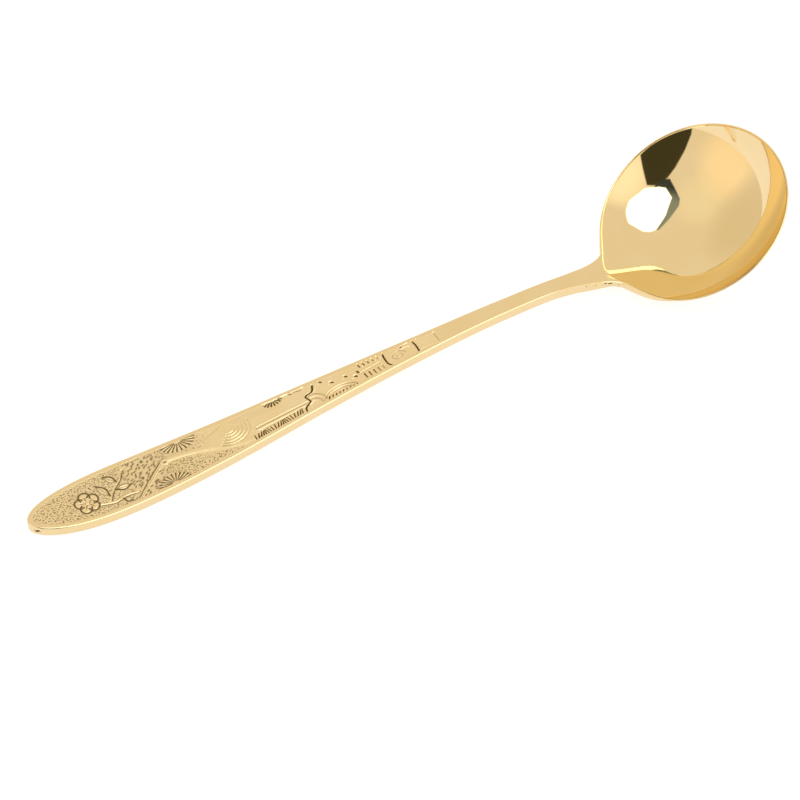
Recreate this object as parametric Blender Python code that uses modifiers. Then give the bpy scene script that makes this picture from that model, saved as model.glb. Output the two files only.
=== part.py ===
"""Souvenir spoon: a pressed round bowl, a struck handle and the braze seam that joins them.

Metres, +Z up. The spoon lies at rest on the plane Z = 0 and its long axis is X, with the handle's
tip at -X and the front of the bowl at +X. The origin is under the middle of the spoon's length.
Lengths measured along the handle, called "along", start at the handle's tip.
"""

import math

import bmesh
import bpy
import numpy as np
from mathutils import Matrix

MM = 0.001

# The bowl is an oval dish. Its rim is tipped so that the front is the highest point.
BOWL_LENGTH = 48.0 * MM
BOWL_WIDTH = 46.4 * MM
BOWL_TILT = math.radians(26.5)
BOWL_SWEEP = math.radians(51)  # the wall's slope at the rim, if the bowl were a slice of a ball
OUTER_DEPTH = 11.8 * MM
INNER_DEPTH = 10.6 * MM
LIP_RADIUS = 0.45 * MM
WALL_STEPS = 13
LIP_STEPS = 6
BOWL_TURN_STEPS = 56

# The handle is a flat bar. Its outline is an ogive at the tip, then a long taper to the neck.
HANDLE_LENGTH = 156.3 * MM
HANDLE_THICKNESS = 2.8 * MM
WIDEST_ALONG = 24 * MM
WIDEST_HALF_WIDTH = 6.75 * MM
TIP_FULLNESS = 2.3
NECK_ALONG = 136 * MM
NECK_HALF_WIDTH = 2.1 * MM
TAPER_BIAS = 0.8
FLARE_ALONG = 134 * MM
FLARE_SPREAD = 2.9 * MM
TONGUE_LENGTH = 7 * MM  # the bar's rounded end, which is cut to fit the underside of the bowl
EDGE_ROUNDING = 0.6 * MM

# Seen from the side, the tip turns up, the belly rests on the table and the neck is an arch.
# Each pair is a distance along the handle and the height of its top edge there.
BELLY_ALONG = 28 * MM
HANDLE_TOP = (
    (0, 4.0 * MM),
    (12 * MM, 3.15 * MM),
    (BELLY_ALONG, HANDLE_THICKNESS),
    (48 * MM, 3.55 * MM),
    (75 * MM, 6.0 * MM),
    (100 * MM, 7.85 * MM),
    (125 * MM, 8.8 * MM),
    (140 * MM, 8.2 * MM),
    (148 * MM, 6.7 * MM),
    (HANDLE_LENGTH, 3.7 * MM),
)

# The struck face lies a little below its raised border.
FIELD_DEPTH = 0.2 * MM
BORDER_WIDTH = 0.9 * MM
FIELD_START = 1.4 * MM
FIELD_END = 112 * MM
CUTTER_ROUNDING = 0.05 * MM

# Wear has left a small flat on each of the two places that touch the table.
BELLY_WEAR = 0.04 * MM
BOWL_WEAR = 0.1 * MM

SEAM_THICKNESS = 0.5 * MM
SEAM_PROUD = 0.2 * MM
JOINT_GAP = 0.3 * MM


def wall(radius, depth):
    """(radius, height) along one side of the bowl, from the rim to the middle: a slice of an ellipse."""
    points = []
    for turn in np.linspace(BOWL_SWEEP, 0, WALL_STEPS):
        reach = radius * math.sin(turn) / math.sin(BOWL_SWEEP)
        drop = depth * (math.cos(turn) - math.cos(BOWL_SWEEP)) / (1 - math.cos(BOWL_SWEEP))
        points.append((reach, -LIP_RADIUS - drop))
    return points


def outer_wall(grow=0.0):
    """The bowl's outside, or a surface that lies outside it by grow all over."""
    return wall(BOWL_LENGTH / 2 + grow / math.sin(BOWL_SWEEP), OUTER_DEPTH + grow)


def bowl_profile():
    """From the middle of the inside, up and over the round lip, to the middle of the outside."""
    inside = wall(BOWL_LENGTH / 2 - 2 * LIP_RADIUS, INNER_DEPTH)
    lip_centre = BOWL_LENGTH / 2 - LIP_RADIUS
    lip = []
    for turn in np.linspace(math.pi, 0, LIP_STEPS + 1)[1:-1]:
        lip.append((lip_centre + LIP_RADIUS * math.cos(turn), LIP_RADIUS * (math.sin(turn) - 1)))
    return inside[::-1] + lip + outer_wall()


def tipped(reach, height):
    """A point of the bowl's middle plane, turned by the tilt: (forward, up) from the rim's centre."""
    forward = reach * math.cos(BOWL_TILT) - height * math.sin(BOWL_TILT)
    up = reach * math.sin(BOWL_TILT) + height * math.cos(BOWL_TILT)
    return forward, up


def tipped_extremes():
    """How far the tipped bowl reaches in front of and below its rim's centre."""
    both_sides = [(side * reach, height) for reach, height in outer_wall() for side in (-1, 1)]
    turned = [tipped(reach, height) for reach, height in both_sides]
    return max(forward for forward, up in turned), -min(up for forward, up in turned)


BOWL_FRONT_REACH, BOWL_DROP = tipped_extremes()
RIM_CENTRE_ALONG = HANDLE_LENGTH + BOWL_LENGTH / 2 * math.cos(BOWL_TILT)
RIM_CENTRE_HEIGHT = BOWL_DROP - BOWL_WEAR
SPOON_LENGTH = RIM_CENTRE_ALONG + BOWL_FRONT_REACH
TIP_X = -SPOON_LENGTH / 2


def smooth_through(points, at):
    """Height at a distance, on the smooth curve through the points."""
    places = [place for place, _ in points]
    heights = [height for _, height in points]
    slopes = np.gradient(heights, places)
    step = min(max(int(np.searchsorted(places, at)) - 1, 0), len(points) - 2)
    span = places[step + 1] - places[step]
    part = min(max((at - places[step]) / span, 0), 1)
    rise = part * part * (3 - 2 * part)
    start_bend = part * (1 - part) ** 2
    end_bend = -part * part * (1 - part)
    return (
        heights[step] * (1 - rise)
        + heights[step + 1] * rise
        + span * (slopes[step] * start_bend + slopes[step + 1] * end_bend)
    )


def top_height(along):
    return smooth_through(HANDLE_TOP, along) - BELLY_WEAR


def half_width(along):
    """Half the handle's width: ogive, taper, the flare that meets the bowl and the tongue under it."""
    if along < WIDEST_ALONG:
        left = (WIDEST_ALONG - along) / WIDEST_ALONG
        return WIDEST_HALF_WIDTH * math.sqrt(max(1 - left**TIP_FULLNESS, 0))
    taper = min((along - WIDEST_ALONG) / (NECK_ALONG - WIDEST_ALONG), 1) ** TAPER_BIAS
    body = NECK_HALF_WIDTH + (WIDEST_HALF_WIDTH - NECK_HALF_WIDTH) * (1 + math.cos(math.pi * taper)) / 2
    flare = min(max(along - FLARE_ALONG, 0) / (HANDLE_LENGTH - FLARE_ALONG), 1)
    past_rim = min(max(along - HANDLE_LENGTH, 0) / TONGUE_LENGTH, 1)
    return (body + FLARE_SPREAD * flare**3) * math.sqrt(1 - past_rim**2)


def rounded_bar(half, low, high, rounding, corner_steps=3):
    """(y, z) points round a bar's section, with round corners, anticlockwise seen from its tip."""
    rounding = min(rounding, half * 0.9)
    middle_y = half - rounding
    points = []
    for corner, (side, level) in enumerate(((1, low), (1, high), (-1, high), (-1, low))):
        centre_z = level + (rounding if level == low else -rounding)
        start = math.pi / 2 * (corner - 1)
        for step in range(corner_steps + 1):
            angle = start + math.pi / 2 * step / corner_steps
            points.append((side * middle_y + rounding * math.cos(angle), centre_z + rounding * math.sin(angle)))
    return points


def new_collection(name, hidden=False):
    collection = bpy.data.collections.new(name)
    bpy.context.scene.collection.children.link(collection)
    collection.hide_render = hidden
    return collection


def new_object(name, mesh, collection):
    obj = bpy.data.objects.new(name, mesh)
    collection.objects.link(obj)
    return obj


def loft(name, sections, collection):
    """A closed solid through sections of equal point counts: (x, [(y, z), ...]) from -X to +X."""
    mesh = bpy.data.meshes.new(name)
    form = bmesh.new()
    rings = [[form.verts.new((x, y, z)) for y, z in points] for x, points in sections]
    count = len(rings[0])
    for ring, after in zip(rings, rings[1:]):
        for i in range(count):
            j = (i + 1) % count
            form.faces.new((ring[i], ring[j], after[j], after[i]))
    form.faces.new(rings[0][::-1])
    form.faces.new(rings[-1])
    bmesh.ops.recalc_face_normals(form, faces=form.faces)
    form.to_mesh(mesh)
    form.free()
    return new_object(name, mesh, collection)


def handle_stations(start, end, tip_steps, body_steps):
    """Distances along the handle, closer together towards a rounded start."""
    turn_in = start + WIDEST_ALONG / 2
    rounded = [start + (turn_in - start) * (1 - math.cos(math.pi / 2 * i / tip_steps)) for i in range(tip_steps)]
    return rounded + list(np.linspace(turn_in, end, body_steps))


def evaluated_mesh(obj):
    bpy.context.view_layer.update()
    graph = bpy.context.evaluated_depsgraph_get()
    return bpy.data.meshes.new_from_object(obj.evaluated_get(graph))


def turned_oval(name, profile, collection):
    """A solid turned from a profile that ends on the axis, then made oval and tipped as the bowl is."""
    line = bpy.data.meshes.new(name + "_profile")
    points = [(radius, 0, height) for radius, height in profile]
    line.from_pydata(points, [(i, i + 1) for i in range(len(points) - 1)], [])
    turned = new_object(name + "_profile", line, collection)
    screw = turned.modifiers.new("turn", "SCREW")
    screw.axis = "Z"
    screw.angle = 2 * math.pi
    screw.steps = BOWL_TURN_STEPS
    screw.render_steps = BOWL_TURN_STEPS
    screw.use_merge_vertices = True
    screw.merge_threshold = 0.00001
    mesh = evaluated_mesh(turned)
    mesh.name = name
    bpy.data.objects.remove(turned)
    mesh.transform(Matrix.Diagonal((1, BOWL_WIDTH / BOWL_LENGTH, 1, 1)))
    obj = new_object(name, mesh, collection)
    obj.location = (TIP_X + RIM_CENTRE_ALONG, 0, RIM_CENTRE_HEIGHT)
    obj.rotation_euler = (0, -BOWL_TILT, 0)
    return obj


def bowl_envelope(name, grow, collection):
    """A solid of the bowl's outside, grown all round, which goes straight up past the rim."""
    above_rim = 8 * MM
    side = outer_wall(grow)
    rim_radius = side[0][0]
    return turned_oval(name, [(0, above_rim), (rim_radius, above_rim)] + side, collection)


def cut(obj, cutter, operation="DIFFERENCE"):
    boolean = obj.modifiers.new(cutter.name, "BOOLEAN")
    boolean.operation = operation
    boolean.solver = "EXACT"
    boolean.object = cutter


def make_table_cutter(collection):
    """Takes off whatever would lie below the table, which leaves the worn flats."""
    bpy.ops.mesh.primitive_cube_add(size=1)
    cutter = bpy.context.active_object
    for home in cutter.users_collection:
        home.objects.unlink(cutter)
    collection.objects.link(cutter)
    cutter.name = "table_cutter"
    depth = 5 * MM
    cutter.data.transform(Matrix.Diagonal((2 * SPOON_LENGTH, 2 * BOWL_WIDTH, depth, 1)))
    cutter.location = (0, 0, -depth / 2)
    return cutter


def make_bowl(parts, table):
    bowl = turned_oval("bowl", bowl_profile(), parts)
    cut(bowl, table)
    return bowl


def bar(name, stations, proud, collection):
    """A length of the handle's bar, grown by proud at its sides and underneath."""
    sections = []
    for along in stations:
        half = max(half_width(along), EDGE_ROUNDING) + proud
        high = top_height(along)
        low = high - HANDLE_THICKNESS - proud
        sections.append((TIP_X + along, rounded_bar(half, low, high, EDGE_ROUNDING)))
    return loft(name, sections, collection)


def make_field_cutter(collection):
    """The space above the struck face. Its outline is the handle's, set in by the border."""
    sections = []
    for along in handle_stations(FIELD_START, FIELD_END, 8, 40):
        half = max(half_width(along - FIELD_START) - BORDER_WIDTH, CUTTER_ROUNDING)
        low = top_height(along) - FIELD_DEPTH
        high = low + HANDLE_THICKNESS
        sections.append((TIP_X + along, rounded_bar(half, low, high, CUTTER_ROUNDING, corner_steps=1)))
    return loft("field_cutter", sections, collection)


def make_handle(parts, cutters, table):
    stations = handle_stations(0, HANDLE_LENGTH + TONGUE_LENGTH, 10, 56)
    handle = bar("handle", stations, 0, parts)
    cut(handle, bowl_envelope("cope_cutter", 2 * JOINT_GAP + SEAM_THICKNESS, cutters))
    cut(handle, make_field_cutter(cutters))
    cut(handle, table)
    return handle


def make_braze_seam(parts, cutters):
    """A thin saddle of filler between the bowl's outside and the handle's cut end."""
    seam_reach = 6 * MM
    stations = np.linspace(HANDLE_LENGTH - seam_reach, HANDLE_LENGTH + TONGUE_LENGTH, 20)
    seam = bar("braze_seam", stations, SEAM_PROUD, parts)
    cut(seam, bowl_envelope("seam_outside", JOINT_GAP + SEAM_THICKNESS, cutters), "INTERSECT")
    cut(seam, bowl_envelope("seam_inside", JOINT_GAP, cutters))
    return seam


def gold_material(name, colour, roughness):
    material = bpy.data.materials.new(name)
    material.use_nodes = True
    shader = material.node_tree.nodes["Principled BSDF"]
    shader.inputs["Base Color"].default_value = (*colour, 1)
    shader.inputs["Metallic"].default_value = 1
    shader.inputs["Roughness"].default_value = roughness
    return material


def finish(obj, material):
    obj.data.materials.clear()
    obj.data.materials.append(material)
    obj.data.shade_smooth()
    obj.data.set_sharp_from_angle(angle=math.radians(35))


def main():
    for obj in list(bpy.data.objects):
        bpy.data.objects.remove(obj)
    parts = new_collection("souvenir_spoon")
    cutters = new_collection("cutters", hidden=True)
    table = make_table_cutter(cutters)
    bowl = make_bowl(parts, table)
    handle = make_handle(parts, cutters, table)
    seam = make_braze_seam(parts, cutters)
    finish(bowl, gold_material("bowl_gold", (0.80, 0.57, 0.24), 0.08))
    finish(handle, gold_material("handle_gold", (0.78, 0.56, 0.25), 0.16))
    finish(seam, gold_material("braze_gold", (0.72, 0.50, 0.22), 0.25))
    for cutter in cutters.objects:
        cutter.hide_render = True
        cutter.display_type = "WIRE"


main()
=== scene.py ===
"""The looks of a gilt souvenir spoon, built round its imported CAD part.

Shapes are worked out in millimetres and turned into metres when a mesh is made. "Along" is the
distance from the handle's tip towards the bowl, "across" is the distance from the handle's middle
line, positive towards +Y, and z is the height above the table.
"""

import math

import bpy
import numpy as np
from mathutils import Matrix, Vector


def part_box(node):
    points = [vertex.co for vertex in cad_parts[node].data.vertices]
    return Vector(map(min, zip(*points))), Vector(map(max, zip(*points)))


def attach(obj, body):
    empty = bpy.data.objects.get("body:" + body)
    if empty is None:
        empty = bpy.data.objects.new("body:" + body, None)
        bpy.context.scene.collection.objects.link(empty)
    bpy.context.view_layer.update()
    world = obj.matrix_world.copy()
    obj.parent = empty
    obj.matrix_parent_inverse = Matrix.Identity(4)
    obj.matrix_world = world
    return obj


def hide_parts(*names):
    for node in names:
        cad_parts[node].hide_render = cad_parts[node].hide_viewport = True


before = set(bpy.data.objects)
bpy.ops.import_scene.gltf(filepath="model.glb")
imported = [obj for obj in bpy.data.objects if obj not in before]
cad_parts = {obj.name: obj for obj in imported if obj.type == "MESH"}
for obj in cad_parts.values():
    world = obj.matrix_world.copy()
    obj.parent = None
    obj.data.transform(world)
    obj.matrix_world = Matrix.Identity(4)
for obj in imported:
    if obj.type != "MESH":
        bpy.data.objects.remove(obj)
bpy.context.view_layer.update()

MM = 0.001
TIP_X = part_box("handle")[0].x / MM  # where the handle's tip is in the frame

# The bowl, as in the CAD part.
BOWL_LENGTH = 48.0
BOWL_WIDTH = (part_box("bowl")[1].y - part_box("bowl")[0].y) / MM
BOWL_TILT = math.radians(26.5)
BOWL_SWEEP = math.radians(51)  # the wall's slope at the rim, if the bowl were a slice of a ball
OUTER_DEPTH = 11.8
INNER_DEPTH = 10.6
LIP_RADIUS = 0.45  # the CAD rim's rounding
RIM_CENTRE_HEIGHT = 14.02

# The handle, as in the CAD part.
HANDLE_LENGTH = 156.3
THICKNESS = 2.8
WIDEST_ALONG = 24.0
WIDEST_HALF_WIDTH = 6.75
TIP_FULLNESS = 2.3  # the power in the tip's outline: 2 would be an ellipse
NECK_ALONG = 136.0
NECK_HALF_WIDTH = 2.1
TAPER_BIAS = 0.8
FLARE_ALONG = 134.0  # where the neck starts to widen towards the bowl
FLARE_SPREAD = 2.9
BELLY_WEAR = 0.04
HANDLE_TOP = (  # (along, height) of the top face
    (0, 4.0),
    (12, 3.15),
    (28, THICKNESS),
    (48, 3.55),
    (75, 6.0),
    (100, 7.85),
    (125, 8.8),
    (140, 8.2),
    (148, 6.7),
    (HANDLE_LENGTH, 3.7),
)
RIM_CENTRE_ALONG = HANDLE_LENGTH + BOWL_LENGTH / 2 * math.cos(BOWL_TILT)

# Fine shape that only the looks have.
TOP_ROUNDING = 0.35
UNDER_ROUNDING = 0.35
FIELD_EDGE = 0.8  # the struck field starts to sink this far inside the outline
FIELD_SLOPE = 0.7
FIELD_DEPTH = 0.06
FIELD_END = 107.7
FIELD_END_SLOPE = 0.25
# Painted shade: a cut is darkened by its depth, fully at this depth.
FULL_SHADE_DEPTH = 0.4  # a cut this deep is at its darkest
RELIEF_TOP = 0.26  # no raised mark stands higher over the field
WORN = 0.65  # the share of each raised height that years of polishing have left
PUNCH_DEPTH = 0.1
SLAB_EDGE = 0.72  # how far the struck slabs lie inside the outline
SLAB_LIFT = 0.01  # how far they stand over the bar's own top face
SLAB_DEPTH = 0.75
SLAB_SPLIT = 41.0  # where the first slab ends and the second begins
SLAB_END = FIELD_END + 1.3
POCKET_EDGE = 0.9  # under the slabs, the bar is sunk this far inside the outline
POCKET_SLOPE = 0.25
POCKET_DEPTH = 0.62
POCKET_END = FIELD_END + 0.2
POCKET_END_SLOPE = 0.3
FINE_LIP_RADIUS = 0.21
FINE_LIP_DROP = 0.1  # the finer lip's top lies this far under the plane of the rim
LIP_PULL = 3.4  # how far the rim is drawn out towards the neck
LIP_PULL_SPREAD = math.radians(13)
LIP_LIFT = 3.3  # how far it sweeps up there
LIP_LIFT_SPREAD = math.radians(30)
SWEEP_START = 0.55  # the share of the way to the rim where the sweep starts
SHOULDER = 1.9  # how much thicker the wall is under the lip beside the neck
SHOULDER_DOWN = 0.07  # the share of the way down the wall where it is thickest
SHOULDER_SPREAD = math.radians(42)

# The web, which carries the neck's shape on to the bowl.
WEB_START = 146.0
WEB_TURN = math.radians(12)  # how far round the bowl its sides land from the middle
WEB_WALL_MIDDLE = 0.12  # the share of the way down the wall of the middle of its landing
WEB_WALL_REACH = 0.14
WEB_ALONG_WALL = 0.45  # how much its sides and underside turn along the wall where they land
LANDING_TURN = math.radians(141)  # how far over the lip the middle of its top face lands
LANDING_FALL = math.radians(120)  # how much less far the edges of its top face go
SEAM_SHARE = 0.8  # the share of the web that belongs to the handle, before the seam
SUNK = 0.03  # how far the web's end goes into the bowl

BORDER_WIDTH = 1.7  # the fine steps of the mesh reach this far in from the outline
BORDER_STEPS = 12
ROUNDING_STEPS = 6
MIDDLE_STEPS = 14
SIDE_STEPS = 6
UNDER_STEPS = 8
SLAB_STEPS = 146
TIP_STEPS = 60
OUTLINE_TIP_STEPS = 199
NECK_STEPS = 60
WEB_STEPS = 80
BOWL_INSIDE_STEPS = 90
BOWL_LIP_STEPS = 16
BOWL_OUTSIDE_STEPS = 120
BOWL_TURN_STEPS = 420


def smooth_step(value, start, end):
    part = np.clip((value - start) / (end - start), 0, 1)
    return part * part * (3 - 2 * part)


def soft_bump(distance, reach):
    """1 at no distance, falling smoothly to 0 at reach."""
    return (1 + np.cos(np.pi * np.clip(distance / reach, 0, 1))) / 2


def curve_shares(part):
    """What a smooth curve's far end and the slopes at its two ends count for, part of the way along."""
    return part * part * (3 - 2 * part), part * (1 - part) ** 2, -part * part * (1 - part)


def smooth_through(points, at):
    """The smooth curve through pairs of (place, value), read at any places."""
    places, values = np.array(points, float).T
    slopes = np.gradient(values, places)
    step = np.clip(np.searchsorted(places, at) - 1, 0, len(places) - 2)
    span = places[step + 1] - places[step]
    rise, start_bend, end_bend = curve_shares(np.clip((at - places[step]) / span, 0, 1))
    return (
        values[step] * (1 - rise)
        + values[step + 1] * rise
        + span * (slopes[step] * start_bend + slopes[step + 1] * end_bend)
    )


def curve_through(points, spacing=0.2):
    """Points about one spacing apart on the smooth curve through a few points of the plane."""
    points = np.array(points, float)
    lengths = np.concatenate([[0], np.cumsum(np.linalg.norm(np.diff(points, axis=0), axis=1))])
    at = np.linspace(0, lengths[-1], max(int(lengths[-1] / spacing), 2) + 1)
    return np.stack([smooth_through(np.stack([lengths, column], 1), at) for column in points.T], axis=1)


def distance_to_path(points, path):
    """Each point's distance from a polyline, and how far along the polyline its nearest place is."""
    runs = np.diff(path, axis=0)
    offsets = points[:, None] - path[:-1]
    part = np.clip((offsets * runs).sum(-1) / (runs**2).sum(-1), 0, 1)
    distances = np.linalg.norm(offsets - part[..., None] * runs, axis=-1)
    nearest = distances.argmin(axis=1)
    rows = np.arange(len(points))
    return distances[rows, nearest], (nearest + part[rows, nearest]) / len(runs)


def distance_to_scatter(along, across, spacing, seed):
    """Distance, in spacings, to the nearest of a set of points scattered one to a square cell."""
    column, row = along / spacing, across / spacing
    columns, rows = 1024, 128
    scatter = np.random.default_rng(seed).random((2, columns, rows))
    nearest = np.full(along.shape, np.inf)
    for right in (-1, 0, 1):
        for up in (-1, 0, 1):
            cell_column = np.floor(column).astype(int) + right
            cell_row = np.floor(row).astype(int) + up
            shift_column, shift_row = scatter[:, cell_column % columns, cell_row % rows]
            gap = np.hypot(cell_column + shift_column - column, cell_row + shift_row - row)
            nearest = np.minimum(nearest, gap)
    return nearest


# ---------------------------------------------------------------- the handle's plain shape


def half_width(along):
    """Half the handle's width: an ogive at the tip, a long taper, and a flare towards the bowl."""
    along = np.asarray(along, float)
    left = np.clip((WIDEST_ALONG - along) / WIDEST_ALONG, 0, 1)
    ogive = WIDEST_HALF_WIDTH * np.sqrt(1 - left**TIP_FULLNESS)
    taper = np.clip((along - WIDEST_ALONG) / (NECK_ALONG - WIDEST_ALONG), 0, 1) ** TAPER_BIAS
    body = NECK_HALF_WIDTH + (WIDEST_HALF_WIDTH - NECK_HALF_WIDTH) * (1 + np.cos(np.pi * taper)) / 2
    flare = np.clip((along - FLARE_ALONG) / (HANDLE_LENGTH - FLARE_ALONG), 0, 1)
    return np.where(along < WIDEST_ALONG, ogive, body + FLARE_SPREAD * flare**3)


def top_height(along):
    return smooth_through(HANDLE_TOP, along) - BELLY_WEAR


def rounding_drop(inset, radius):
    """How far a round edge lies below the flat face, at a distance inside the outline."""
    left = np.clip(radius - inset, 0, radius)
    return radius - np.sqrt(radius**2 - left**2)


def crowded(reach, count):
    """Distances from 0 up to a reach, close together at first, as round a quarter of a circle."""
    return reach * (1 - np.cos(np.linspace(0, math.pi / 2, count, endpoint=False)))


def handle_stations():
    """Distances along the handle: crowded round the tip, fine under the relief, sparse on the neck."""
    tip_end, struck_end, spacing = 6.0, FIELD_END + 1, 0.3
    struck = np.arange(tip_end, struck_end, spacing)
    neck = np.linspace(struck_end, WEB_START, NECK_STEPS)
    return np.concatenate([crowded(tip_end, TIP_STEPS), struck, neck])


def handle_outline():
    """(along, across) points of the outline's +Y side, from the tip to just past the neck."""
    spacing, end = 0.2, 160
    tip = crowded(WIDEST_ALONG, OUTLINE_TIP_STEPS)
    places = np.concatenate([tip, np.arange(WIDEST_ALONG, end, spacing)])
    return np.stack([places, half_width(places)], axis=1)


def outline_inset(along, across):
    """Distance of each point inside the handle's outline, seen from above."""
    outline = handle_outline()
    inset = np.zeros(across.shape)
    window = 8.0  # the nearest place on the outline is never further along than this
    for station, (place, row) in enumerate(zip(along[:, 0], across)):
        path = outline[np.abs(outline[:, 0] - place) < window]
        points = np.stack([np.full(row.shape, place), np.abs(row)], axis=1)
        inset[station] = distance_to_path(points, path)[0]
    return inset


def offset_half_width(along, inset):
    """Half the width, at each distance along, of the outline drawn in by an inset."""
    outline = handle_outline()
    way = np.gradient(outline, axis=0)
    way /= np.linalg.norm(way, axis=1, keepdims=True)
    drawn_in = outline + inset * np.stack([way[:, 1], -way[:, 0]], axis=1)
    return np.interp(along, *drawn_in.T)


def across_face(half, rounding):
    """Positions across the top face, from one side of the outline to the other.

    They are close together on the round edges and the border, and far apart between the borders.
    Where the handle is narrow, the borders are squeezed into nine tenths of it.
    """
    squeeze = np.minimum(1, 0.9 * half / BORDER_WIDTH)
    border = np.linspace(rounding, BORDER_WIDTH, BORDER_STEPS, endpoint=False)
    near_side = half - np.concatenate([crowded(rounding, ROUNDING_STEPS), border]) * squeeze
    middle = np.linspace(1, -1, MIDDLE_STEPS) * (half - BORDER_WIDTH * squeeze)
    return -np.concatenate([near_side, middle, -near_side[:, ::-1]], axis=1)


# ---------------------------------------------------------------- the struck picture


class Relief:
    """A height over the floor of the struck field, with the painted shade of the places that are cut deep,
    and the places left plain.
    """

    def __init__(self, along, across):
        self.along = along
        self.across = across
        self.height = np.zeros(along.shape)
        self.recess_shade = np.zeros(along.shape)
        self.plain = np.zeros(along.shape)

    def stroke(self, points, width, height, end_width=None):
        """A rounded line on a smooth curve, raised or, where height is negative, cut and painted with shade.
        """
        end_width = width if end_width is None else end_width
        reach = max(width, end_width)
        path = curve_through(points)
        low, high = path.min(axis=0) - reach, path.max(axis=0) + reach
        near = (self.along > low[0]) & (self.along < high[0])
        near &= (self.across > low[1]) & (self.across < high[1])
        if not near.any():
            return
        places = np.stack([self.along[near], self.across[near]], axis=1)
        distance, progress = distance_to_path(places, path)
        shape = soft_bump(distance, width + (end_width - width) * progress)
        self.height[near] += (WORN * height if height > 0 else height) * shape
        # Painted shade: a cut is darkened, the more the deeper it is.
        if height < 0:
            dark = shape * min(1, -height / FULL_SHADE_DEPTH)
            self.recess_shade[near] = np.maximum(self.recess_shade[near], dark)
        self.plain[near] = np.maximum(self.plain[near], smooth_step(shape, 0, 0.4))

    def pad(self, centre, reach, height, turn=0.0, edge=0.3):
        """A raised oval with a soft edge, which the punched ground doesn't reach."""
        ahead, aside = self.along - centre[0], self.across - centre[1]
        forward = ahead * math.cos(turn) + aside * math.sin(turn)
        sideways = aside * math.cos(turn) - ahead * math.sin(turn)
        radius = np.hypot(forward / reach[0], sideways / reach[1])
        shape = 1 - smooth_step(radius, 1 - edge, 1)
        self.height = np.maximum(self.height, WORN * height * shape)
        self.plain = np.maximum(self.plain, shape)


def fan(relief, centre, reach, facing, blades=11):
    """A pine fan: a low half oval with tapering cuts that spread from its foot at the border."""
    relief.pad(centre, (reach[0] * 1.1, reach[1] * 1.12), 0.12)
    for blade in np.linspace(0.06, 0.94, blades):
        turn = math.pi * blade
        way = np.array([reach[0] * math.cos(turn), facing * reach[1] * math.sin(turn)])
        start = np.array(centre) + 0.25 * way
        relief.stroke([start, np.array(centre) + way], 0.16, -0.34, end_width=0.36)


def grass(relief, start, end, blades):
    """A row of short leaning cuts along the near border."""
    for count, place in enumerate(np.linspace(start, end, blades)):
        foot = 1.3 - float(half_width(place))
        lean = 0.55 * math.sin(0.8 * count)
        relief.stroke([(place, foot), (place + lean, foot + 1.25)], 0.26, -0.32, end_width=0.18)


def blossom(relief, centre, radius):
    """A five-petalled plum blossom with a raised eye and a few stamens."""
    for petal in range(5):
        turn = 2 * math.pi * (petal + 0.3) / 5
        way = np.array([math.cos(turn), math.sin(turn)])
        middle = np.array(centre) + 0.62 * radius * way
        relief.pad(middle, (0.46 * radius, 0.46 * radius), 0.12, edge=0.35)
        bends = turn + np.linspace(-2.1, 2.1, 9)
        edge = [middle + 0.5 * radius * np.array([math.cos(bend), math.sin(bend)]) for bend in bends]
        relief.stroke(edge, 0.34, -0.36)
        stamen = [np.array(centre) + share * radius * way for share in (0.3, 0.66)]
        relief.stroke(stamen, 0.28, -0.24, end_width=0.2)
    relief.pad(centre, (0.2 * radius, 0.2 * radius), 0.18, edge=0.5)


def leaf(relief, foot, tip, breadth):
    """A raised pointed leaf with a cut outline and midrib."""
    foot, tip = np.array(foot, float), np.array(tip, float)
    side = np.array([-(tip - foot)[1], (tip - foot)[0]]) / np.linalg.norm(tip - foot) * breadth
    middle = (foot + tip) / 2
    turn = math.atan2(*(tip - foot)[::-1])
    relief.pad(middle, (np.linalg.norm(tip - foot) / 2, breadth), 0.12, turn, edge=0.4)
    relief.stroke([foot, middle - side, tip], 0.34, -0.36)
    relief.stroke([foot, middle + side, tip], 0.28, -0.2)
    relief.stroke([foot, tip], 0.22, -0.2, end_width=0.14)


def flower_spray(relief):
    """A plum blossom and a leafy twig, on the widest part of the handle."""
    blossom(relief, (14.6, -0.9), 2.7)
    twig = [(17.2, -2.7), (20.5, -3.5), (24.2, -3.0), (26.6, -3.4)]
    relief.stroke(twig, 0.3, 0.17, end_width=0.22)
    under_twig = [(17.2, -3.15), (20.5, -3.95), (24.2, -3.45), (26.6, -3.8)]
    relief.stroke(under_twig, 0.26, -0.26, end_width=0.18)
    branch = [(19.6, -2.7), (21.4, -0.2), (24.2, 2.2), (25.4, 4.2)]
    relief.stroke(branch, 0.28, 0.15, end_width=0.18)
    under_branch = [(20.0, -2.9), (21.8, -0.5), (24.6, 1.9), (25.8, 3.8)]
    relief.stroke(under_branch, 0.28, -0.3, end_width=0.2)
    leaf(relief, (20.2, -1.4), (18.2, 2.6), 0.85)
    leaf(relief, (22.2, -0.4), (26.0, -0.6), 0.75)
    leaf(relief, (23.2, 1.6), (20.8, 4.2), 0.75)
    leaf(relief, (22.6, -3.4), (24.4, -5.0), 0.6)
    relief.pad((25.9, 4.5), (0.6, 0.6), 0.18)


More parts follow.
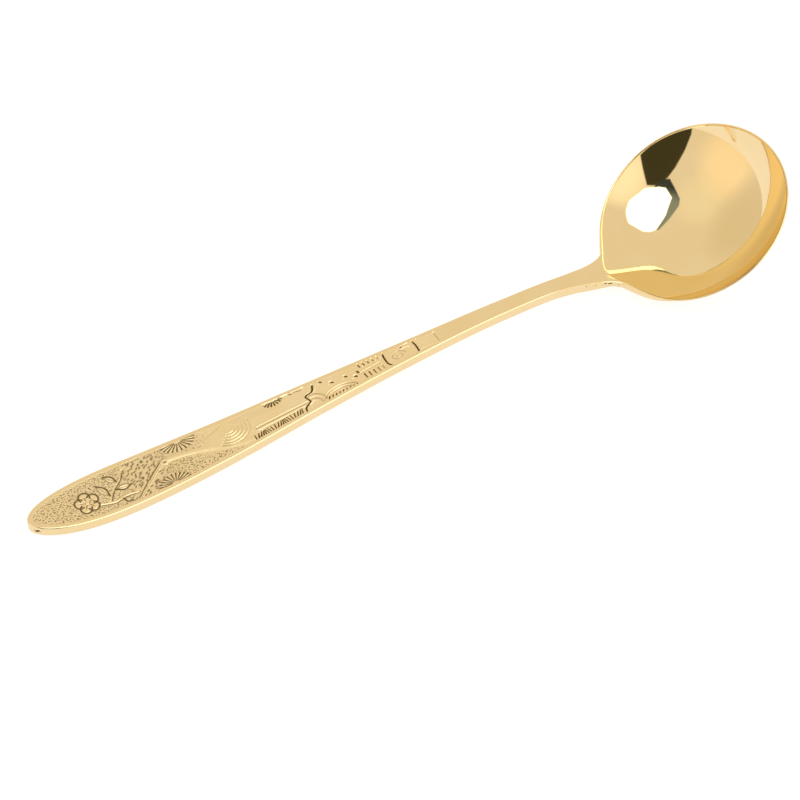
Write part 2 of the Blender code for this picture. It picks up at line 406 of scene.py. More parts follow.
def crane(relief):
    """A flying crane, its beak towards the tip and its legs trailing towards the bowl."""
    beak = [(34.6, 1.1), (30.4, -2.1), (26.9, -5.0)]
    relief.stroke(beak, 0.5, 0.16, end_width=0.4)
    relief.stroke(beak, 0.17, -0.16, end_width=0.13)
    relief.stroke([(place - 0.25, side + 0.55) for place, side in beak], 0.28, -0.3, end_width=0.2)
    relief.pad((35.7, 1.2), (1.3, 1.0), 0.16, edge=0.5)
    relief.stroke([(35.35, 1.2), (35.6, 1.25)], 0.36, -0.46)
    neck = [(36.4, 1.5), (40.5, 0.95), (45.5, -0.2), (51.5, -2.3), (56.5, -3.5)]
    relief.stroke(neck, 0.75, 0.2, end_width=1.5)
    relief.stroke([(36.8, 2.4), (41.5, 2.0), (46.5, 2.3), (51.0, 3.7)], 0.3, -0.12)
    relief.pad((52.6, -0.6), (7.6, 3.5), 0.12, turn=-0.12, edge=0.75)
    for feather in range(5):
        turns = np.linspace(-2.3, 0.25, 9)
        reach, breadth = 1.2 + 1.0 * feather, 0.8 + 0.8 * feather
        crescent = [(52.4 + reach * math.cos(turn), 1.9 + breadth * math.sin(turn)) for turn in turns]
        relief.stroke(crescent, 0.36, 0.12, end_width=0.24)
        relief.stroke([(place + 0.12, side - 0.4) for place, side in crescent], 0.24, -0.14, end_width=0.16)
    for plume in range(4):
        start = (53.4 + 0.9 * plume, 3.5 - 0.45 * plume)
        feather = [start, (58.2 + plume, 3.7 - 0.6 * plume), (63.6 + plume, 2.8 - 0.6 * plume)]
        relief.stroke(feather, 0.2, -0.11, end_width=0.14)
    for shift in (0.1, -0.95):
        relief.stroke([(58.5, -0.9 + shift), (66.0, -0.8 + shift), (72.6, -0.8 + shift)], 0.36, 0.12)
    relief.stroke([(58.0, -1.35), (72.0, -1.2)], 0.26, -0.18, end_width=0.2)
    relief.stroke([(60.0, -2.3), (72.4, -2.15)], 0.22, -0.12, end_width=0.16)


def stream(relief):
    """A winding stream across the handle, with ripples beyond it."""
    bank = [(75.0, 2.6), (74.2, 1.2), (72.2, 0.6), (72.6, -1.2), (70.9, -2.4), (70.6, -4.2)]
    relief.stroke(bank, 0.34, -0.38, end_width=0.28)
    relief.stroke([(place + 0.75, side + 0.1) for place, side in bank], 0.34, 0.12)
    relief.stroke([(72.3, -3.5), (72.45, -3.55)], 0.46, -0.5)
    for ripple in range(4):
        reach = 1.2 + 0.62 * ripple
        turns = np.linspace(-0.5, 1.9, 7)
        arc = [(73.4 + reach * math.cos(turn), -2.6 + reach * math.sin(turn)) for turn in turns]
        relief.stroke(arc, 0.24, -0.17 if ripple % 2 else 0.1)
    relief.stroke([(70.0, 3.3), (72.3, 3.1), (73.6, 3.7)], 0.26, -0.26)
    relief.stroke([(66.5, 3.3), (68.6, 3.5), (69.6, 3.0)], 0.24, -0.22)


def hills(relief):
    """Two rounded hills with grass under them and small clouds above."""
    for reach in (1.0, 0.8):
        turns = np.linspace(0.15, math.pi - 0.1, 9)
        dome = [(80.2 - 5.2 * reach * math.cos(turn), -3.9 + 3.5 * reach * math.sin(turn)) for turn in turns]
        relief.stroke(dome, 0.36, 0.14)
        relief.stroke([(place, side - 0.42) for place, side in dome], 0.22, -0.14)
    for blade in np.linspace(76.8, 84.2, 9):
        relief.stroke([(blade - 0.35, -3.7), (blade + 0.3, -2.3)], 0.3, -0.34, end_width=0.2)
    clouds = ((79.2, 1.1, 0.8), (82.8, 0.9, 0.7), (84.9, -0.3, 0.8), (76.9, 2.6, 0.65))
    for place, side, size in clouds:
        turns = np.linspace(-0.6, 3.6, 8)
        curl = [(place + size * math.cos(turn), side + 0.7 * size * math.sin(turn)) for turn in turns]
        relief.stroke(curl, 0.3, 0.12)
        relief.stroke([(place, side), (place + 0.6 * size, side - 0.25)], 0.3, -0.36)


def fence(relief):
    """A garden fence: two rails and two rows of short pales."""
    relief.stroke([(86.0, 0.1), (91.8, 0.55)], 0.45, 0.11)
    relief.stroke([(86.0, -0.35), (91.8, 0.1)], 0.2, -0.16)
    for pale in range(5):
        place = 86.9 + 1.2 * pale
        relief.stroke([(place, 2.6), (place + 0.25, 1.4)], 0.3, -0.36 + 0.04 * pale, end_width=0.22)
        low_pale = [(place + 0.3, -0.8), (place + 0.45, -2.1)]
        relief.stroke(low_pale, 0.3, -0.34 + 0.04 * pale, end_width=0.22)
        relief.stroke([(place + 0.55, 2.5), (place + 0.8, 1.4)], 0.24, 0.1)
    relief.stroke([(86.0, 0.7), (86.15, 0.2)], 0.36, -0.44)


def cloud_panel(relief):
    """A framed panel with a swirling cloud, and a small plain frame after it."""
    relief.stroke([(93.6, 2.8), (93.3, 0.8), (93.5, -1.3), (94.4, -2.4)], 0.3, -0.42)
    relief.stroke([(94.4, -2.4), (96.6, -2.7), (99.6, -2.5)], 0.28, -0.22, end_width=0.16)
    relief.stroke([(94.6, -1.9), (96.6, -2.2), (99.4, -2.0)], 0.26, 0.12)
    relief.stroke([(101.0, 2.8), (101.5, 0.4), (101.4, -2.3)], 0.3, -0.46)
    relief.stroke([(100.9, 2.6), (99.8, 1.8), (98.9, 1.6)], 0.24, -0.2)
    turns = np.linspace(0, 3.2 * math.pi, 24)
    places = 96.6 + (2.0 - 0.16 * turns) * np.cos(turns)
    sides = -0.3 + (1.25 - 0.1 * turns) * np.sin(turns)
    relief.stroke(np.stack([places, sides], axis=1), 0.24, -0.15, end_width=0.18)
    relief.stroke([(97.6, 0.9), (98.7, 1.2), (99.9, 0.8)], 0.26, 0.12)
    relief.stroke([(98.0, 1.5), (98.3, 1.55)], 0.28, -0.32)
    relief.stroke([(102.2, -1.4), (106.8, -1.35)], 0.24, 0.1)
    relief.stroke([(102.2, -1.85), (106.8, -1.8)], 0.22, -0.2, end_width=0.18)
    relief.stroke([(106.9, 1.7), (107.0, -1.7)], 0.22, -0.16)
    relief.stroke([(102.3, 2.2), (102.4, 1.6)], 0.22, -0.24)


def punched_ground(along, across):
    """(height, painted shade) of the punched ground: round marks, with slanting dashes past the flowers.

    Past the crane's head it fades, first in the middle and then beside the near border.
    """
    strength = 0.78 + 0.22 * np.sin(3.1 * along + 1.7 * np.sin(2.3 * across))
    round_marks = soft_bump(distance_to_scatter(along, across, 0.56, seed=4), 0.5) * strength
    down_dash = 0.8 * along + 0.6 * across
    over_dash = 0.8 * across - 0.6 * along + 0.15 * np.sin(2.6 * down_dash)
    dashes = 0.8 * soft_bump(distance_to_scatter(0.5 * down_dash, over_dash, 0.66, seed=9), 0.58)
    past_flowers = soft_bump(np.abs(along - 30), 10)
    marks = round_marks + (dashes - round_marks) * past_flowers
    past_head = smooth_step(along, 40, 52)
    by_near_edge = smooth_step(-across, 1.6, 3.4) * (1 - smooth_step(along, 57, 62))
    there = 1 - past_head * (1 - by_near_edge) * 0.82
    # Painted shade: the open ground is darkened a little all over, and more in each punch mark.
    ground_shade, mark_shade = 0.2, 0.68
    return -PUNCH_DEPTH * there * marks, there * (ground_shade + mark_shade * marks)


def struck_face(along, across, inset):
    """(height, painted recess shade, matt share) of the handle's top face: plain border, sunk field and
    picture.
    """
    relief = Relief(along, across)
    flower_spray(relief)
    crane(relief)
    fan(relief, (40.6, 5.3), (4.4, 2.9), -1)
    fan(relief, (35.2, -5.5), (4.1, 2.7), 1)
    fan(relief, (65.0, 4.1), (2.5, 1.7), -1, blades=9)
    grass(relief, 57.0, 69.6, 20)
    stream(relief)
    hills(relief)
    fence(relief)
    cloud_panel(relief)
    marks, punch_shade = punched_ground(along, across)
    open_ground = 1 - relief.plain
    field = smooth_step(inset, FIELD_EDGE, FIELD_EDGE + FIELD_SLOPE)
    field *= 1 - smooth_step(along, FIELD_END - FIELD_END_SLOPE, FIELD_END)
    picture = np.clip(relief.height, -FULL_SHADE_DEPTH, RELIEF_TOP)
    height = field * (picture + marks * open_ground - FIELD_DEPTH)
    # Painted shade from the cuts and the punched ground, which the struck material turns into a darker tint.
    recess_shade = field * np.clip(relief.recess_shade + 0.8 * punch_shade * open_ground, 0, 1)
    return height, recess_shade, field


# ---------------------------------------------------------------- the bowl


def wall(down, radius, depth):
    """(reach, height) on one of the bowl's walls, at a share of the way from the rim to the middle."""
    turn = BOWL_SWEEP * (1 - down)
    reach = radius * np.sin(turn) / math.sin(BOWL_SWEEP)
    drop = depth * (np.cos(turn) - math.cos(BOWL_SWEEP)) / (1 - math.cos(BOWL_SWEEP))
    start = (FINE_LIP_RADIUS + FINE_LIP_DROP) * (1 - down) + LIP_RADIUS * down
    return reach, -start - drop


def lip_section(turn):
    """(reach, height) on the rounded lip, at a turn from its outside over its top."""
    height = FINE_LIP_RADIUS * (np.sin(turn) - 1) - FINE_LIP_DROP
    return BOWL_LENGTH / 2 + FINE_LIP_RADIUS * (np.cos(turn) - 1), height


def bowl_point(from_neck, reach, height, thickening=0.0):
    """World millimetres of a point of the bowl, at a turn from the neck round the bowl's own axis.

    Close to the neck the rim is drawn out and sweeps up to meet it.
    """
    near_rim = smooth_step(reach / (BOWL_LENGTH / 2), SWEEP_START, 1)
    pull = LIP_PULL / (1 + (from_neck / LIP_PULL_SPREAD) ** 2) * near_rim
    pull *= 1 - smooth_step(np.abs(from_neck), math.radians(40), math.radians(90))
    lift = LIP_LIFT * np.exp(-((from_neck / LIP_LIFT_SPREAD) ** 2)) * near_rim
    shoulder = thickening * np.exp(-((from_neck / SHOULDER_SPREAD) ** 4))
    reach = reach + pull + shoulder
    forward = -reach * np.cos(from_neck)
    sideways = reach * np.sin(from_neck) * BOWL_WIDTH / BOWL_LENGTH
    x = TIP_X + RIM_CENTRE_ALONG + forward * math.cos(BOWL_TILT) - height * math.sin(BOWL_TILT)
    z = RIM_CENTRE_HEIGHT + forward * math.sin(BOWL_TILT) + height * math.cos(BOWL_TILT) + lift
    return np.stack([x, sideways + 0 * x, z + 0 * x], axis=-1)


def thickening(down):
    """How far the outside stands out beside the neck, at a share of the way down the wall."""
    return SHOULDER * smooth_step(down, 0, SHOULDER_DOWN) * (1 - smooth_step(down, SHOULDER_DOWN, 0.5))


def outer_point(from_neck, down):
    return bowl_point(from_neck, *wall(down, BOWL_LENGTH / 2, OUTER_DEPTH), thickening(down))


def wall_middle(from_neck, down):
    """A point half-way through the thickness of the bowl's wall."""
    inside = wall(down, BOWL_LENGTH / 2 - 2 * FINE_LIP_RADIUS, INNER_DEPTH)
    return (outer_point(from_neck, down) + bowl_point(from_neck, *inside)) / 2


def hand_polish(points, amount):
    """A very slight waviness, which keeps the mirror from being perfect."""
    x, y, z = np.moveaxis(points, -1, 0)
    long_waves = np.sin(0.61 * x + 0.27 * y) + np.sin(0.47 * y - 0.39 * z + 1.3)
    return amount * (long_waves + 0.6 * np.sin(0.9 * z + 0.5 * x + 0.8))


def bowl_rings():
    """Rings round the bowl from the middle of its inside, over the lip, to the middle of its outside."""
    down = np.linspace(1, 0, BOWL_INSIDE_STEPS)
    inside = (*wall(down, BOWL_LENGTH / 2 - 2 * FINE_LIP_RADIUS, INNER_DEPTH), 0 * down)
    lip_turn = np.linspace(math.pi, 0, BOWL_LIP_STEPS)[1:-1]
    lip = (*lip_section(lip_turn), 0 * lip_turn)
    down = 1 - np.linspace(1, 0, BOWL_OUTSIDE_STEPS) ** 1.5  # closer together towards the bottom
    outside = (*wall(down, BOWL_LENGTH / 2, OUTER_DEPTH), thickening(down))
    reach, height, thick = (np.concatenate(parts)[:, None] for parts in zip(inside, lip, outside))
    turns = np.linspace(-math.pi, math.pi, BOWL_TURN_STEPS, endpoint=False)
    rings = bowl_point(turns[None, :], reach, height, thick)
    away_from_rim = smooth_step(1 - reach / (BOWL_LENGTH / 2), 0.04, 0.3)
    rings[..., 2] += hand_polish(rings, 0.006) * away_from_rim
    rings[..., 2] = np.maximum(rings[..., 2], 0)
    return rings


# ---------------------------------------------------------------- the handle and its joint


def handle_rings():
    """Rings round the handle from its tip to where the web to the bowl begins.

    The middle of the top face is sunk well below the two struck slabs that lie over it.
    """
    stations = handle_stations()
    half = half_width(stations)[:, None]
    top_across = across_face(half, TOP_ROUNDING)
    along = stations[:, None] + 0 * top_across
    inset = outline_inset(along, top_across)
    pocket = smooth_step(inset, POCKET_EDGE, POCKET_EDGE + POCKET_SLOPE)
    pocket *= 1 - smooth_step(along, POCKET_END, POCKET_END + POCKET_END_SLOPE)
    top_z = top_height(along) - rounding_drop(inset, TOP_ROUNDING) - POCKET_DEPTH * pocket
    under_share = np.linspace(1, -1, UNDER_STEPS + 1)
    radius = np.minimum(UNDER_ROUNDING, half * 0.9)
    round_edge = half - crowded(radius, ROUNDING_STEPS)
    flat = under_share * (half - radius)
    under_across = np.concatenate([round_edge, flat, -round_edge[:, ::-1]], axis=1)
    under_along = stations[:, None] + 0 * under_across
    under_inset = outline_inset(under_along, under_across)
    under_z = top_height(under_along) - THICKNESS + rounding_drop(under_inset, UNDER_ROUNDING)
    side_share = np.linspace(0, 1, SIDE_STEPS + 2)[1:-1]
    far_side_z = top_z[:, -1:] + (under_z[:, :1] - top_z[:, -1:]) * side_share
    near_side_z = under_z[:, -1:] + (top_z[:, :1] - under_z[:, -1:]) * side_share
    far_side, near_side = half + 0 * far_side_z, -half + 0 * near_side_z
    across = np.concatenate([top_across, far_side, under_across, near_side], axis=1)
    z = np.maximum(np.concatenate([top_z, far_side_z, under_z, near_side_z], axis=1), 0)
    return np.stack([TIP_X + stations[:, None] + 0 * z, across, z], axis=-1)


def slab_rings():
    """The fine slab that carries the picture: its rings, normals, shading shares and split."""
    start = SLAB_EDGE + 0.02
    tip_reach, wide_spacing, narrow_spacing = 4, 0.09, 0.108
    tip = start + crowded(tip_reach, TIP_STEPS)
    wide = np.arange(start + tip_reach, SLAB_SPLIT, wide_spacing)
    narrow = np.arange(SLAB_SPLIT, SLAB_END, narrow_spacing)
    stations = np.concatenate([tip, wide, narrow])
    side = offset_half_width(stations, SLAB_EDGE)[:, None]
    across = side * np.linspace(-1, 1, SLAB_STEPS)
    along = stations[:, None] + 0 * across
    height, recess_shade, matt = struck_face(along, across, outline_inset(along, across))
    top = np.stack([TIP_X + along, across, top_height(along) + SLAB_LIFT + height], axis=-1)
    normals = unit(np.cross(np.gradient(top, axis=0), np.gradient(top, axis=1)))
    corners = top[:, [-1, 0]] - np.array([0, 0, SLAB_DEPTH])
    corner_normals = np.tile([[0, 0.7, -0.7], [0, -0.7, -0.7]], (len(stations), 1, 1))
    plain = np.zeros((len(stations), 2))
    rings = np.concatenate([top, corners], axis=1)
    normals = np.concatenate([normals, corner_normals], axis=1)
    shares = {
        "recess_shade": np.concatenate([recess_shade, plain], axis=1),
        "matt": np.concatenate([matt, plain], axis=1),
    }
    return rings, normals, shares, len(tip) + len(wide)


def landing(top_share, count_under):
    """Where each line along the web lands on the bowl, and its heading there.

    The top face lands on the lip: near its inside in the middle, and near its outside at the edges.
    The sides and the underside land on an arc of the wall below the lip.
    """
    corner = -math.pi / 4
    from_neck = WEB_TURN * top_share
    lip_turn = LANDING_TURN - LANDING_FALL * np.abs(top_share) ** 4
    top_end = bowl_point(from_neck, *lip_section(lip_turn))
    under = np.linspace(corner, math.pi - corner, count_under + 2)[1:-1]
    upright = np.clip(np.cos(under), -math.cos(corner), math.cos(corner))
    from_neck = np.concatenate([from_neck, WEB_TURN * upright / math.cos(corner)])
    down = np.concatenate([0 * top_share, WEB_WALL_MIDDLE + WEB_WALL_REACH * np.sin(under)])
    edge_heading = math.cos(corner) * np.sign(top_share) * np.abs(top_share) ** 5
    sideways = np.concatenate([edge_heading, upright])
    downward = np.concatenate([0 * top_share, np.maximum(np.sin(under), 0)])
    return from_neck, down, sideways, downward, top_end


def unit(vectors):
    return vectors / np.linalg.norm(vectors, axis=-1, keepdims=True)


def web_rings(rings):
    """Rings that carry the neck on to the bowl, then close inside the thickness of its wall.

    Each line along the web is a parabola, apart from its turn along the wall where it lands.
    """
    count_top = 2 * (ROUNDING_STEPS + BORDER_STEPS) + MIDDLE_STEPS
    start = rings[-1]
    start_way = (rings[-1] - rings[-2]) / (rings[-1, 0, 0] - rings[-2, 0, 0])
    top_share = start[:count_top, 1] / start[count_top - 1, 1]
    from_neck, down, sideways, downward, top_end = landing(top_share, len(start) - count_top)
    small = 1e-3
    end = outer_point(from_neck, down)
    round_rim = unit(outer_point(from_neck + small, down) - end)
    down_wall = unit(outer_point(from_neck, down + small) - end)
    outward = unit(np.cross(round_rim, down_wall))
    end = end - SUNK * outward
    end[:count_top] = top_end - SUNK * np.array([0, 0, 1])
    chord = end - start
    start_way = start_way * chord[:, :1]
    turning = WEB_ALONG_WALL * np.hypot(sideways, downward)[:, None]
    along_wall = sideways[:, None] * round_rim + downward[:, None] * down_wall
    length = np.linalg.norm(chord, axis=-1, keepdims=True)
    end_way = (1 - turning) * (2 * chord - start_way) + WEB_ALONG_WALL * length * along_wall
    web = []
    for share in np.linspace(0, 1, WEB_STEPS + 1)[1:]:
        rise, start_bend, end_bend = curve_shares(share)
        web.append(start + (end - start) * rise + start_way * start_bend + end_way * end_bend)
    for share in (1.0, 0.8, 0.5, 0.2):
        web.append(wall_middle(from_neck * share, WEB_WALL_MIDDLE + (down - WEB_WALL_MIDDLE) * share))
    web = np.array(web)
    web[..., 2] = np.maximum(web[..., 2], 0)
    return web


# ---------------------------------------------------------------- meshes


def grid_normals(rings):
    """A unit normal at each point of a closed grid, from its neighbours along and round it."""
    round_it = np.roll(rings, -1, axis=1) - np.roll(rings, 1, axis=1)
    along_it = np.gradient(rings, axis=0)
    normals = np.cross(along_it, round_it)
    length = np.linalg.norm(normals, axis=-1, keepdims=True)
    return normals / np.maximum(length, 1e-12)


def skin(name, rings, normals=None, shares=None):
    """A closed mesh through rings of equal point counts, with a cap at each end."""
    count, around = rings.shape[:2]
    points = np.concatenate([rings.reshape(-1, 3), rings[:1].mean(axis=1), rings[-1:].mean(axis=1)]) * MM
    here = np.arange(count - 1)[:, None] * around + np.arange(around)
    beside = np.arange(count - 1)[:, None] * around + (np.arange(around) + 1) % around
    sides = np.stack([here, here + around, beside + around, beside], axis=-1).reshape(-1, 4).tolist()
    first_middle, last_middle = count * around, count * around + 1
    end = (count - 1) * around
    caps = []
    for corner in range(around):
        following = (corner + 1) % around
        caps.append((first_middle, corner, following))
        caps.append((last_middle, end + following, end + corner))
    mesh = bpy.data.meshes.new(name)
    mesh.from_pydata(points.tolist(), [], sides + caps)
    for share, values in (shares or {}).items():
        values = np.concatenate([values.reshape(-1), [0, 0]]).astype(np.float32)
        mesh.attributes.new(share, "FLOAT", "POINT").data.foreach_set("value", values)
    mesh.validate()
    if signed_volume(mesh) < 0:
        mesh.flip_normals()
    mesh.shade_smooth()
    if normals is not None:
        ends = np.array([[-1.0, 0, 0], [1.0, 0, 0]])
        all_normals = np.concatenate([normals.reshape(-1, 3), ends])
        mesh.normals_split_custom_set_from_vertices(all_normals.tolist())
    obj = bpy.data.objects.new(name, mesh)
    bpy.context.scene.collection.objects.link(obj)
    return obj


def signed_volume(mesh):
    """Six times the mesh's volume, below 0 where its faces look inwards."""
    mesh.calc_loop_triangles()
    points = np.empty(len(mesh.vertices) * 3)
    mesh.vertices.foreach_get("co", points)
    triangles = np.empty(len(mesh.loop_triangles) * 3, np.int32)
    mesh.loop_triangles.foreach_get("vertices", triangles)
    return np.linalg.det(points.reshape(-1, 3)[triangles.reshape(-1, 3)]).sum()


# ---------------------------------------------------------------- materials


class Nodes:
    """Short ways to add and link the nodes of one material or world."""

    def __init__(self, tree):
        self.tree = tree

    def add(self, kind, **settings):
        node = self.tree.nodes.new(kind)
        for setting, value in settings.items():
            setattr(node, setting, value)
        return node

    def put(self, value, socket):
        if isinstance(value, bpy.types.NodeSocket):
            self.tree.links.new(value, socket)
        else:
            socket.default_value = value

    def math(self, operation, first, second=0.0):
        node = self.add("ShaderNodeMath", operation=operation)
        self.put(first, node.inputs[0])
        self.put(second, node.inputs[1])
        return node.outputs[0]

    def vector_math(self, operation, first, second, output="Vector"):
        node = self.add("ShaderNodeVectorMath", operation=operation)
        self.put(first, node.inputs[0])
        self.put(second, node.inputs[1])
        return node.outputs[output]

    def ramp(self, value, low, high, to_low=0.0, to_high=1.0):
        node = self.add("ShaderNodeMapRange", interpolation_type="SMOOTHSTEP")
        for name, given in (
            ("Value", value),
            ("From Min", low),
            ("From Max", high),
            ("To Min", to_low),
            ("To Max", to_high),
        ):
            self.put(given, node.inputs[name])
        return node.outputs["Result"]

    def mix(self, factor, first, second):
        node = self.add("ShaderNodeMix", data_type="RGBA")
        self.put(factor, node.inputs["Factor"])
        for socket, value in ((node.inputs[6], first), (node.inputs[7], second)):
            self.put(value if isinstance(value, bpy.types.NodeSocket) else (*value, 1), socket)
        return node.outputs[2]

    def noise(self, place, scale, detail=2.0):
        node = self.add("ShaderNodeTexNoise")
        self.put(place, node.inputs["Vector"])
        node.inputs["Scale"].default_value = scale
        node.inputs["Detail"].default_value = detail
        return node.outputs["Fac"]


GOLD = (0.93, 0.79, 0.47)
PALE_GOLD = (0.94, 0.81, 0.51)
# Painted shade: the brown that the struck recesses are darkened towards.
RECESS_SHADE_BROWN = (0.12, 0.075, 0.025)
PIT_BROWN = (0.05, 0.028, 0.01)
PIT_ROUGHNESS = 0.4  # how much rougher the metal is in a pit
MATT_ROUGHNESS = 0.26  # and in the struck field

# Small dark pits in the metal: (along, across, z) and how far each reaches.
PITS = (
    ((1.25, -2.25, 2.5), (0.8, 0.8, 0.34)),
    ((146.7, -2.6, 6.4), (0.22, 0.3, 0.14)),
    ((149.1, -3.0, 5.6), (0.24, 0.3, 0.16)),
    ((151.8, -3.3, 5.55), (0.6, 0.4, 0.2)),
    ((152.8, -3.6, 5.3), (0.6, 0.4, 0.3)),
    ((154.6, -4.4, 4.8), (0.35, 0.4, 0.14)),
)


def pit_mask(nodes, place, centre, reach):
    """1 inside one ragged pit, 0 outside it."""
    offset = nodes.vector_math("SUBTRACT", place, Vector((TIP_X + centre[0], *centre[1:])) * MM)
    squashed = nodes.vector_math("DIVIDE", offset, Vector(reach) * MM)
    length = nodes.vector_math("LENGTH", squashed, (0, 0, 0), "Value")
    ragged = nodes.math("ADD", length, nodes.ramp(nodes.noise(place, 2600, 3), 0.3, 0.7, -0.45, 0.45))
    return nodes.ramp(ragged, 0.85, 1.0, 1.0, 0.0)


def gold(name, roughness, variation=0.04, scratch=0.02, paints_recess_shade=False, pits=()):
    """Polished gilt metal with slight shifts of tint and fine polishing marks.

    Where asked, it is painted with shade in the struck recesses, and it darkens in the pits.
    """
    material = bpy.data.materials.new(name)
    material.use_nodes = True
    nodes = Nodes(material.node_tree)
    shader = material.node_tree.nodes["Principled BSDF"]
    shader.inputs["Metallic"].default_value = 1
    place = nodes.add("ShaderNodeTexCoord").outputs["Object"]
    cloud = nodes.noise(place, 90, 3)
    tint = nodes.mix(nodes.ramp(cloud, 0.35, 0.7), GOLD, PALE_GOLD)
    rough = nodes.ramp(nodes.noise(place, 240, 4), 0.3, 0.75, roughness, roughness + variation)
    stretched = nodes.vector_math("MULTIPLY", place, (600, 9000, 9000))
    marks = nodes.noise(stretched, 1.0, 2)
    bump = nodes.add("ShaderNodeBump")
    bump.inputs["Strength"].default_value = scratch
    bump.inputs["Distance"].default_value = 0.02 * MM
    nodes.put(marks, bump.inputs["Height"])
    normal = bump.outputs["Normal"]
    if paints_recess_shade:
        recess_shade = nodes.add("ShaderNodeAttribute", attribute_name="recess_shade").outputs["Fac"]
        matt = nodes.add("ShaderNodeAttribute", attribute_name="matt").outputs["Fac"]
        # Painted shade: the tint goes towards the shade brown where the recess shade share is high.
        shallow, deep, darkest = 0.1, 0.62, 0.92
        tint = nodes.mix(nodes.ramp(recess_shade, shallow, deep, 0.0, darkest), tint, RECESS_SHADE_BROWN)
        rough = nodes.math("ADD", rough, nodes.math("MULTIPLY", matt, MATT_ROUGHNESS))
    for centre, reach in pits:
        mask = pit_mask(nodes, place, centre, reach)
        tint = nodes.mix(mask, tint, PIT_BROWN)
        rough = nodes.math("ADD", rough, nodes.math("MULTIPLY", mask, PIT_ROUGHNESS))
    nodes.put(tint, shader.inputs["Base Color"])
    nodes.put(rough, shader.inputs["Roughness"])
    nodes.put(normal, shader.inputs["Normal"])
    return material


FLOOR_GLOW = (0.84, 0.84, 0.84)  # as the camera sees it
FLOOR_GLOW_IN_METAL = (0.7, 0.62, 0.57)
FLOOR_GREYS = ((0.29, 0.3, 0.31), (0.31, 0.32, 0.33))


def floor_material():
    """A pale, evenly lit floor. The spoon's metal reflects it a little darker and warmer."""
    material = bpy.data.materials.new("pale_floor")
    material.use_nodes = True
    nodes = Nodes(material.node_tree)
    shader = material.node_tree.nodes["Principled BSDF"]
    shader.inputs["Roughness"].default_value = 0.9
    seen = nodes.add("ShaderNodeLightPath").outputs["Is Camera Ray"]
    nodes.put(nodes.mix(seen, FLOOR_GLOW_IN_METAL, FLOOR_GLOW), shader.inputs["Emission Color"])
    shader.inputs["Emission Strength"].default_value = 1
    shader.inputs["Specular IOR Level"].default_value = 0.1
    place = nodes.add("ShaderNodeTexCoord").outputs["Object"]
    faint = nodes.ramp(nodes.noise(place, 6, 2), 0.3, 0.7)
    nodes.put(nodes.mix(faint, *FLOOR_GREYS), shader.inputs["Base Color"])
    return material


# ---------------------------------------------------------------- light, floor and camera

# The studio round the spoon. Directions are (azimuth, elevation) in degrees.
ROOM = (0.852, 0.725, 0.576)
GLOWS = (  # centre, radius and colour of each soft patch of light on the walls
    ((-70, 32), 36, (1.2, 1.02, 0.8)),
    ((176, 54), 28, (0.93, 0.81, 0.63)),
    ((178, 16), 36, (1.07, 0.86, 0.61)),
    ((125, 18), 38, (0.77, 0.64, 0.47)),
)
GAP_LEFT = ((-139, -14), (-139.9, 6), (-137.6, 22), (-131.7, 38.7), (-124, 48.7), (-111, 55.6))
GAP_RIGHT = ((-95, 52.4), (-95, -14))
GAP_COLOUR = (0.054, 0.047, 0.022)
BAND_OUTSIDE = ((-114, 50.8), (-127.2, 49.5), (-155.5, 64.9), (-163.5, 69.8), (-173.7, 81.2), (37, 81.4))
BAND_INSIDE = ((24, 80.4), (-99, 58))
BAND_LOW_COLOUR = (0.045, 0.05, 0.045)
BAND_HIGH_COLOUR = (0.27, 0.30, 0.28)
SOFTBOX_LEFT = ((-91, 54.2), (-111, 56.7), (-122.3, 58.3), (-138, 66), (-139, 82.2))
SOFTBOX_RIGHT = ((24, 80.4), (0.9, 65), (-10, 56.3), (-35, 56.7), (-57, 55.3))
SOFTBOX_COLOUR = (2.3, 2.3, 2.3)


def direction(azimuth, elevation):
    """A unit vector, with azimuth from +X towards +Y, in degrees."""
    turn, lift = math.radians(azimuth), math.radians(elevation)
    return Vector((math.cos(turn) * math.cos(lift), math.sin(turn) * math.cos(lift), math.sin(lift)))


def patch(nodes, ray, corners, softness):
    """1 for rays inside a convex patch of the sky with the given (azimuth, elevation) corners."""
    ways = [direction(*corner) for corner in corners]
    middle = sum(ways, Vector())
    inside = None
    for way, following in zip(ways, ways[1:] + ways[:1]):
        edge = way.cross(following).normalized()
        if edge.dot(middle) < 0:
            edge = -edge
        depth = nodes.vector_math("DOT_PRODUCT", ray, edge, "Value")
        inside = depth if inside is None else nodes.math("MINIMUM", inside, depth)
    return nodes.ramp(inside, -softness, softness)


def glow(nodes, ray, centre, radius):
    """A soft round patch of the sky: 1 at its centre, 0 at its radius in degrees."""
    near = nodes.vector_math("DOT_PRODUCT", ray, direction(*centre), "Value")
    return nodes.ramp(near, math.cos(math.radians(radius)), 1.0)


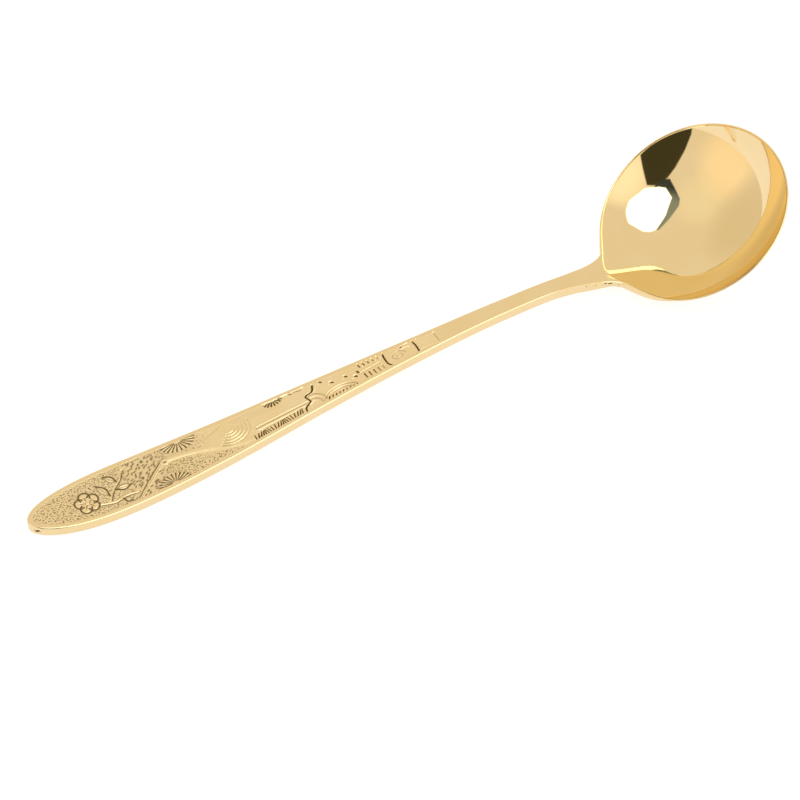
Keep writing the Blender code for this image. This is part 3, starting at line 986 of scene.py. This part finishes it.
def studio_light():
    """A pale room with a large softbox overhead, its grey frame and the dark gap beside it.

    The camera itself sees plain white beyond the floor.
    """
    world = bpy.data.worlds.new("studio")
    bpy.context.scene.world = world
    world.use_nodes = True
    nodes = Nodes(world.node_tree)
    background = world.node_tree.nodes["Background"]
    ray = nodes.add("ShaderNodeTexCoord").outputs["Generated"]
    colour = ROOM
    for centre, radius, tint in GLOWS:
        colour = nodes.mix(glow(nodes, ray, centre, radius), colour, tint)
    gap = patch(nodes, ray, GAP_LEFT + GAP_RIGHT, softness=0.01)
    colour = nodes.mix(gap, colour, GAP_COLOUR)
    band = patch(nodes, ray, BAND_OUTSIDE + BAND_INSIDE, softness=0.008)
    height = nodes.vector_math("DOT_PRODUCT", ray, (0, 0, 1), "Value")
    band_colour = nodes.mix(nodes.ramp(height, 0.84, 0.95), BAND_LOW_COLOUR, BAND_HIGH_COLOUR)
    colour = nodes.mix(band, colour, band_colour)
    softbox = patch(nodes, ray, SOFTBOX_LEFT + SOFTBOX_RIGHT, softness=0.008)
    colour = nodes.mix(softbox, colour, SOFTBOX_COLOUR)
    seen = nodes.add("ShaderNodeLightPath").outputs["Is Camera Ray"]
    nodes.put(nodes.mix(seen, colour, (1.0, 1.0, 1.0)), background.inputs["Color"])


def pale_floor():
    bpy.ops.mesh.primitive_plane_add(size=8)
    floor = bpy.context.active_object
    floor.name = "floor"
    floor.data.materials.append(floor_material())


def look_from_above_the_near_side():
    """The camera: nearly a metre off, a little to the tip's side, looking down at the spoon."""
    azimuth, elevation, distance = math.radians(28.96), math.radians(51.5), 0.9
    level = math.cos(elevation)
    back = Vector((-math.sin(azimuth) * level, -math.cos(azimuth) * level, math.sin(elevation)))
    right = Vector((math.cos(azimuth), -math.sin(azimuth), 0))
    up = back.cross(right)
    centre = Vector(((TIP_X + 100) * MM, 0, 4 * MM))
    aim_left, aim_down = 2.46, 9.9
    target = centre - right * aim_left * MM - up * aim_down * MM
    camera = bpy.data.objects.new("camera", bpy.data.cameras.new("camera"))
    bpy.context.scene.collection.objects.link(camera)
    camera.location = centre + back * distance
    camera.rotation_euler = (camera.location - target).to_track_quat("Z", "Y").to_euler()
    camera.data.lens = 171.0
    camera.data.sensor_width = 36
    camera.data.clip_start = 0.05
    bpy.context.scene.camera = camera


# ---------------------------------------------------------------- the pieces


def declare(obj, material, node):
    obj.data.materials.append(material)
    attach(obj, "root")
    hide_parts(node)


def build_spoon():
    bar = handle_rings()
    rings = np.concatenate([bar, web_rings(bar)])
    normals = grid_normals(rings)
    cut = len(bar) + int(SEAM_SHARE * WEB_STEPS)
    handle_gold = gold("handle_gold", 0.13, pits=PITS)
    # The struck slabs' gold carries painted shade in its recesses.
    struck_gold_painted_shade = gold("struck_gold_painted_shade", 0.13, paints_recess_shade=True)
    handle = skin("handle_body", rings[: cut + 1], normals[: cut + 1])
    seam = skin("neck_seam", rings[cut:], normals[cut:])
    slab, slab_normals, shares, split = slab_rings()
    declare(handle, handle_gold, "handle")
    declare(seam, gold("seam_gold", 0.12, pits=PITS), "braze_seam")
    for name, part in (("struck_tip", slice(0, split + 1)), ("struck_shaft", slice(split, None))):
        part_shares = {share: values[part] for share, values in shares.items()}
        piece = skin(name, slab[part], slab_normals[part], part_shares)
        declare(piece, struck_gold_painted_shade, "handle")
    bowl = skin("bowl_shell", bowl_rings())
    declare(bowl, gold("mirror_gold", 0.035, variation=0.02, scratch=0.01), "bowl")


build_spoon()
studio_light()
pale_floor()
look_from_above_the_near_side()
bpy.context.scene.view_settings.view_transform = "Standard"
